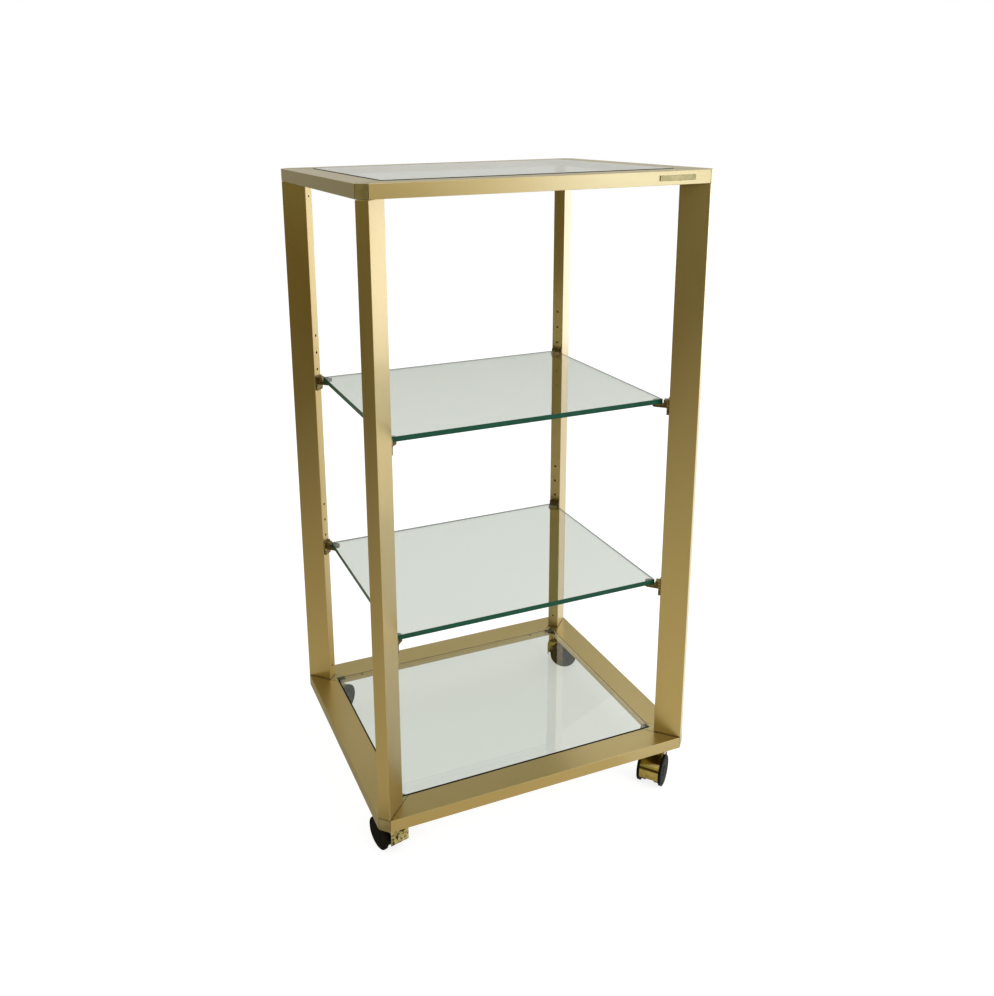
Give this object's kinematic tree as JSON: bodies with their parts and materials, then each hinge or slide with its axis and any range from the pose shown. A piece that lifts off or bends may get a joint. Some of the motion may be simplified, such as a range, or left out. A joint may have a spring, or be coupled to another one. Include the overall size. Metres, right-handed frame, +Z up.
{
  "type": "etagere",
  "caption": "Tall open display stand on twin-wheel castors: gilt flat-tube frames and corner posts carrying glass shelves and a glass top.",
  "frame": {"origin": "on the floor under the middle of the whole stand, castors and name plate counted in", "axes": "+Z up, -Y towards the front with the name plate, +X to the right"},
  "size_m": [0.5662, 0.473, 1.037],
  "materials": {
    "gilt_tube": "satin gold anodised",
    "gilt_casting": "satin gilt casting",
    "clear_glass": "polished, dark green edges",
    "dark_bronze": "dark bronzed",
    "polished_brass": "polished",
    "aged_brass": "polished, spotted with age",
    "steel": "bright",
    "black_plastic": "semi-gloss",
    "black_nylon": "moulded"
  },
  "bodies": {
    "frame": {"bottom_front_rail": "gilt_tube", "bottom_right_rail": "gilt_tube", "bottom_back_rail": "gilt_tube", "bottom_left_rail": "gilt_tube", "top_front_rail": "gilt_tube", "top_right_rail": "gilt_tube", "top_back_rail": "gilt_tube", "top_left_rail": "gilt_tube", "bottom_front_left_connector": "gilt_casting", "bottom_front_right_connector": "gilt_casting", "bottom_back_right_connector": "gilt_casting", "bottom_back_left_connector": "gilt_casting", "top_front_left_connector": "gilt_casting", "top_front_right_connector": "gilt_casting", "top_back_right_connector": "gilt_casting", "top_back_left_connector": "gilt_casting", "front_left_post": "gilt_tube", "front_right_post": "gilt_tube", "back_right_post": "gilt_tube", "back_left_post": "gilt_tube", "lower_front_left_bracket": "dark_bronze", "lower_front_right_bracket": "dark_bronze", "lower_back_right_bracket": "dark_bronze", "lower_back_left_bracket": "dark_bronze", "upper_front_left_bracket": "dark_bronze", "upper_front_right_bracket": "dark_bronze", "upper_back_right_bracket": "dark_bronze", "upper_back_left_bracket": "dark_bronze", "name_plate": "polished_brass", "front_left_castor_socket": "black_nylon", "front_right_castor_socket": "black_nylon", "back_right_castor_socket": "black_nylon", "back_left_castor_socket": "black_nylon", "front_left_castor_stem": "steel", "front_right_castor_stem": "steel", "back_right_castor_stem": "steel", "back_left_castor_stem": "steel"},
    "bottom_glass": {"bottom_glass": "clear_glass"},
    "lower_shelf_glass": {"lower_shelf_glass": "clear_glass"},
    "upper_shelf_glass": {"upper_shelf_glass": "clear_glass"},
    "top_glass": {"top_glass": "clear_glass"},
    "front_left_castor": {"front_left_castor_hood": "aged_brass", "front_left_castor_axle": "steel"},
    "front_left_castor_left_wheel": {"front_left_castor_left_wheel": "black_plastic"},
    "front_left_castor_right_wheel": {"front_left_castor_right_wheel": "black_plastic"},
    "front_right_castor": {"front_right_castor_hood": "aged_brass", "front_right_castor_axle": "steel"},
    "front_right_castor_left_wheel": {"front_right_castor_left_wheel": "black_plastic"},
    "front_right_castor_right_wheel": {"front_right_castor_right_wheel": "black_plastic"},
    "back_right_castor": {"back_right_castor_hood": "aged_brass", "back_right_castor_axle": "steel"},
    "back_right_castor_left_wheel": {"back_right_castor_left_wheel": "black_plastic"},
    "back_right_castor_right_wheel": {"back_right_castor_right_wheel": "black_plastic"},
    "back_left_castor": {"back_left_castor_hood": "aged_brass", "back_left_castor_axle": "steel"},
    "back_left_castor_left_wheel": {"back_left_castor_left_wheel": "black_plastic"},
    "back_left_castor_right_wheel": {"back_left_castor_right_wheel": "black_plastic"}
  },
  "joints": [
    {"name": "front_left_castor_swivel", "type": "hinge", "parent": "frame", "child": "front_left_castor", "pos_m": [-0.24777, -0.18965, 0.055], "axis": [0, 0, 1], "continuous": true},
    {"name": "front_left_castor_left_wheel_spin", "type": "hinge", "parent": "front_left_castor", "child": "front_left_castor_left_wheel", "pos_m": [-0.25295, -0.16723, 0.026], "axis": [-0.9744, -0.225, 0], "continuous": true},
    {"name": "front_left_castor_right_wheel_spin", "type": "hinge", "parent": "front_left_castor", "child": "front_left_castor_right_wheel", "pos_m": [-0.25295, -0.16723, 0.026], "axis": [-0.9744, -0.225, 0], "continuous": true},
    {"name": "front_right_castor_swivel", "type": "hinge", "parent": "frame", "child": "front_right_castor", "pos_m": [0.23152, -0.18965, 0.055], "axis": [0, 0, 1], "continuous": true},
    {"name": "front_right_castor_left_wheel_spin", "type": "hinge", "parent": "front_right_castor", "child": "front_right_castor_left_wheel", "pos_m": [0.2139, -0.20443, 0.026], "axis": [0.6428, -0.766, 0], "continuous": true},
    {"name": "front_right_castor_right_wheel_spin", "type": "hinge", "parent": "front_right_castor", "child": "front_right_castor_right_wheel", "pos_m": [0.2139, -0.20443, 0.026], "axis": [0.6428, -0.766, 0], "continuous": true},
    {"name": "back_right_castor_swivel", "type": "hinge", "parent": "frame", "child": "back_right_castor", "pos_m": [0.23152, 0.18965, 0.055], "axis": [0, 0, 1], "continuous": true},
    {"name": "back_right_castor_left_wheel_spin", "type": "hinge", "parent": "back_right_castor", "child": "back_right_castor_left_wheel", "pos_m": [0.25036, 0.17645, 0.026], "axis": [0.5736, 0.8192, 0], "continuous": true},
    {"name": "back_right_castor_right_wheel_spin", "type": "hinge", "parent": "back_right_castor", "child": "back_right_castor_right_wheel", "pos_m": [0.25036, 0.17645, 0.026], "axis": [0.5736, 0.8192, 0], "continuous": true},
    {"name": "back_left_castor_swivel", "type": "hinge", "parent": "frame", "child": "back_left_castor", "pos_m": [-0.24777, 0.18965, 0.055], "axis": [0, 0, 1], "continuous": true},
    {"name": "back_left_castor_left_wheel_spin", "type": "hinge", "parent": "back_left_castor", "child": "back_left_castor_left_wheel", "pos_m": [-0.23015, 0.20443, 0.026], "axis": [-0.6428, 0.766, 0], "continuous": true},
    {"name": "back_left_castor_right_wheel_spin", "type": "hinge", "parent": "back_left_castor", "child": "back_left_castor_right_wheel", "pos_m": [-0.23015, 0.20443, 0.026], "axis": [-0.6428, 0.766, 0], "continuous": true},
    {"name": "bottom_glass_lift", "type": "slide", "parent": "frame", "child": "bottom_glass", "axis": [0, 0, 1], "range_m": [0, 0.05]},
    {"name": "lower_shelf_glass_lift", "type": "slide", "parent": "frame", "child": "lower_shelf_glass", "axis": [0, 0, 1], "range_m": [0, 0.05]},
    {"name": "upper_shelf_glass_lift", "type": "slide", "parent": "frame", "child": "upper_shelf_glass", "axis": [0, 0, 1], "range_m": [0, 0.05]},
    {"name": "top_glass_lift", "type": "slide", "parent": "frame", "child": "top_glass", "axis": [0, 0, 1], "range_m": [0, 0.05]}
  ]
}
